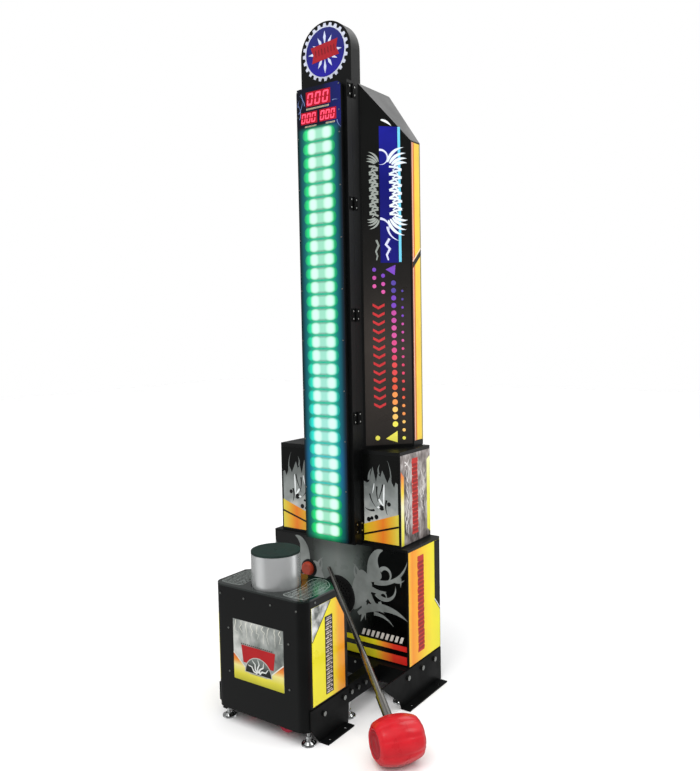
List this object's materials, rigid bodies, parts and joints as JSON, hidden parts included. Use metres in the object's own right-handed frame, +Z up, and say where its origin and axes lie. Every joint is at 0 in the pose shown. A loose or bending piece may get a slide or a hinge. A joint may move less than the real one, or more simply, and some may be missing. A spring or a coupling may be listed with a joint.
{
  "type": "hammer strength tester arcade machine",
  "caption": "Tall strength tester arcade machine: light tower with hinged LED door, stepped cabinet, strike box with sprung anvil and a loose soft-headed hammer",
  "frame": {"origin": "on the floor, at the centre of the four floor-anchor holes of the cabinet brackets", "axes": "+Z up, the front of the machine faces -Y, +X is the machine's left-to-right seen from the front"},
  "size_m": [0.9298, 0.7184, 2.4998],
  "materials": {
    "black_sheet": "satin black powder-coated sheet",
    "lower_art": "glossy printed plastic, yellow, orange, silver and black",
    "shoulder_art": "glossy printed plastic, silver, yellow and red",
    "wing_art": "glossy printed plastic, black with coloured print",
    "strike_art": "glossy printed plastic, yellow, silver and red",
    "emblem_blue": "blue printed disc",
    "emblem_white": "white toothed ring",
    "door_panel_navy": "dark navy glossy plastic panel",
    "circuit_board": "green circuit board",
    "zinc_steel": "zinc-plated steel",
    "chrome_parts": "chromed steel",
    "anvil_aluminium": "turned aluminium",
    "pad_rubber": "dark rubber",
    "bush_brass": "turned bronze",
    "castor_red": "red polyurethane wheel",
    "black_plastic": "black moulded plastic",
    "button_red": "red translucent button cap",
    "hammer_red": "red soft vinyl over foam",
    "hammer_dark_red": "dark red soft vinyl end pads",
    "handle_steel": "polished grey steel tube",
    "bar_lens_green": "lit translucent lens",
    "score_red": "lit red digit window"
  },
  "bodies": {
    "cabinet": {"anvil_guide_bush": "bush_brass", "base_beams": "black_sheet", "bolts_and_screws": "zinc_steel", "castor_mount_plates": "zinc_steel", "control_board": "circuit_board", "fixed_hinge_leaves": "black_sheet", "floor_brackets": "black_sheet", "head_emblem_disc": "emblem_blue", "head_gear_ring": "emblem_white", "impact_sensor": "zinc_steel", "led_column_shell": "black_sheet", "levelling_feet": "chrome_parts", "lower_cabinet_shell": "black_sheet", "lower_front_art_panel": "lower_art", "lower_side_art_panels": "lower_art", "mains_inlet": "black_plastic", "power_supply": "zinc_steel", "rear_castor_brackets": "zinc_steel", "shoulder_art_panels": "shoulder_art", "shoulder_box_shell": "black_sheet", "speaker_driver": "black_plastic", "speaker_grille": "black_plastic", "start_button_bezel": "black_plastic", "start_button_switch": "black_plastic", "strike_art_panels": "strike_art", "strike_base_plate": "zinc_steel", "strike_box_shell": "black_sheet", "strike_cross_frame": "zinc_steel", "strike_top_plate": "black_sheet", "tower_rear_panel": "black_sheet", "tower_wing_shell": "black_sheet", "wing_art_panels": "wing_art"},
    "led_door": {"led_door_frame": "black_sheet", "led_front_panel": "door_panel_navy", "led_bar_lenses": "bar_lens_green", "score_display_modules": "score_red", "led_light_board": "circuit_board", "door_front_screws": "zinc_steel", "door_hinge_leaves": "black_sheet", "led_door_lock_barrel": "chrome_parts"},
    "led_door_cam": {"led_door_lock_cam": "chrome_parts"},
    "rear_door": {"rear_service_door": "black_sheet", "rear_door_hinge_leaves": "black_sheet", "rear_door_lock_barrel": "chrome_parts"},
    "rear_door_cam": {"rear_door_lock_cam": "chrome_parts"},
    "anvil": {"anvil_drum": "anvil_aluminium", "anvil_rubber_pad": "pad_rubber", "anvil_shaft": "zinc_steel", "anvil_return_spring": "zinc_steel"},
    "start_button": {"start_button_plunger": "button_red"},
    "mains_switch": {"mains_rocker": "black_plastic"},
    "castor_right": {"castor_fork_right": "zinc_steel"},
    "castor_left": {"castor_fork_left": "zinc_steel"},
    "wheel_right": {"castor_wheel_right": "castor_red"},
    "wheel_left": {"castor_wheel_left": "castor_red"},
    "rear_wheel_r": {"rear_wheel_right": "castor_red"},
    "rear_wheel_l": {"rear_wheel_left": "castor_red"},
    "hammer": {"hammer_head": "hammer_red", "hammer_end_caps": "hammer_dark_red", "hammer_handle": "handle_steel"}
  },
  "joints": [
    {"name": "led_door_hinge", "type": "hinge", "parent": "cabinet", "child": "led_door", "pos_m": [0.118, -0.09625, 1.42], "axis": [0, 0, 1], "range_deg": [0, 110]},
    {"name": "led_door_lock_turn", "type": "hinge", "parent": "led_door", "child": "led_door_cam", "pos_m": [-0.1033, -0.111, 1.4], "axis": [-1, 0, 0], "range_deg": [0, 90]},
    {"name": "rear_door_hinge", "type": "hinge", "parent": "cabinet", "child": "rear_door", "pos_m": [-0.2295, 0.1641, 0.32], "axis": [0, 0, 1], "range_deg": [0, 110]},
    {"name": "rear_door_lock_turn", "type": "hinge", "parent": "rear_door", "child": "rear_door_cam", "pos_m": [0.2, 0.154, 0.32], "axis": [0, 1, 0], "range_deg": [0, 90]},
    {"name": "anvil_press", "type": "slide", "parent": "cabinet", "child": "anvil", "axis": [0, 0, -1], "range_m": [0, 0.025], "stiffness_N_per_m": 8000, "springref_m": -0.02, "deforming": ["anvil_return_spring"]},
    {"name": "start_button_press", "type": "slide", "parent": "cabinet", "child": "start_button", "axis": [0, 1, 0], "range_m": [0, 0.004], "stiffness_N_per_m": 300, "springref_m": -0.003},
    {"name": "mains_rocker_tilt", "type": "hinge", "parent": "cabinet", "child": "mains_switch", "pos_m": [0.14, 0.158, 0.104], "axis": [1, 0, 0], "range_deg": [0, 14]},
    {"name": "castor_right_swivel", "type": "hinge", "parent": "cabinet", "child": "castor_right", "pos_m": [0.092, -0.486, 0.09], "axis": [0, 0, 1], "continuous": true},
    {"name": "castor_left_swivel", "type": "hinge", "parent": "cabinet", "child": "castor_left", "pos_m": [-0.092, -0.486, 0.09], "axis": [0, 0, 1], "continuous": true},
    {"name": "wheel_right_spin", "type": "hinge", "parent": "castor_right", "child": "wheel_right", "pos_m": [0.07, -0.486, 0.039], "axis": [0, 1, 0], "continuous": true},
    {"name": "wheel_left_spin", "type": "hinge", "parent": "castor_left", "child": "wheel_left", "pos_m": [-0.092, -0.464, 0.039], "axis": [1, 0, 0], "continuous": true},
    {"name": "rear_wheel_r_spin", "type": "hinge", "parent": "cabinet", "child": "rear_wheel_r", "pos_m": [0.23, 0.128, 0.028], "axis": [1, 0, 0], "continuous": true},
    {"name": "rear_wheel_l_spin", "type": "hinge", "parent": "cabinet", "child": "rear_wheel_l", "pos_m": [-0.23, 0.128, 0.028], "axis": [1, 0, 0], "continuous": true},
    {"name": "hammer_lift", "type": "slide", "parent": "cabinet", "child": "hammer", "axis": [0.9, 0, 0.4359], "range_m": [0, 0.35]}
  ]
}
